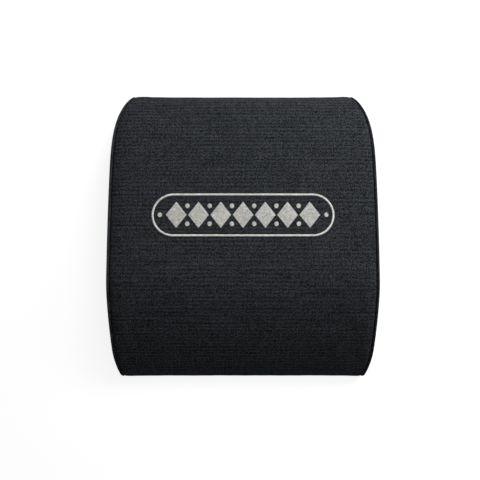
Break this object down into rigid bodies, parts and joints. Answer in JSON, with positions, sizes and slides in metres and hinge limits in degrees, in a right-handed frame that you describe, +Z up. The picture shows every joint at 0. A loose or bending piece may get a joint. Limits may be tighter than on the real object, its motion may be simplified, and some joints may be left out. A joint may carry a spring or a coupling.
{
  "type": "ab mat",
  "caption": "Humped foam pad for sit-ups in a sewn charcoal fabric cover with a non-slip base, opened by a zip along its thick end.",
  "frame": {"origin": "middle of the pad's footprint, on the surface it lies on", "axes": "+Z up from the flat base, +Y from the thin end to the thick end, which has the zip, and +X across to the side where the zip's slider rests when closed"},
  "size_m": [0.31, 0.3461, 0.066],
  "materials": {
    "woven_cover": "matt plain-weave canvas, charcoal grey",
    "non_slip_base": "matt fabric with small rubber dots",
    "foam": "matt closed-cell foam, grey",
    "zip_tape": "matt woven tape",
    "zip_teeth": "satin moulded plastic",
    "black_metal": "satin black paint"
  },
  "bodies": {
    "mat": {"foam_core": "foam", "top_panel": "woven_cover", "zip_facing_strip": "woven_cover", "right_side_panel": "woven_cover", "left_side_panel": "woven_cover", "base_panel": "non_slip_base", "zip_tape_upper": "zip_tape", "zip_tape_lower": "zip_tape", "zip_teeth_upper": "zip_teeth", "zip_teeth_lower": "zip_teeth", "zip_top_stop_upper": "black_metal", "zip_top_stop_lower": "black_metal", "zip_bottom_stop": "black_metal"},
    "slider": {"zip_slider": "black_metal"},
    "pull": {"zip_pull": "black_metal"}
  },
  "joints": [
    {"name": "zip_slide", "type": "slide", "parent": "mat", "child": "slider", "axis": [-1, 0, 0], "range_m": [0, 0.2216], "deforming": ["zip_teeth_upper", "zip_teeth_lower"]},
    {"name": "pull_hinge", "type": "hinge", "parent": "slider", "child": "pull", "pos_m": [0.10968, 0.17305, 0.013], "axis": [0, 0, -1], "range_deg": [0, 170]}
  ]
}
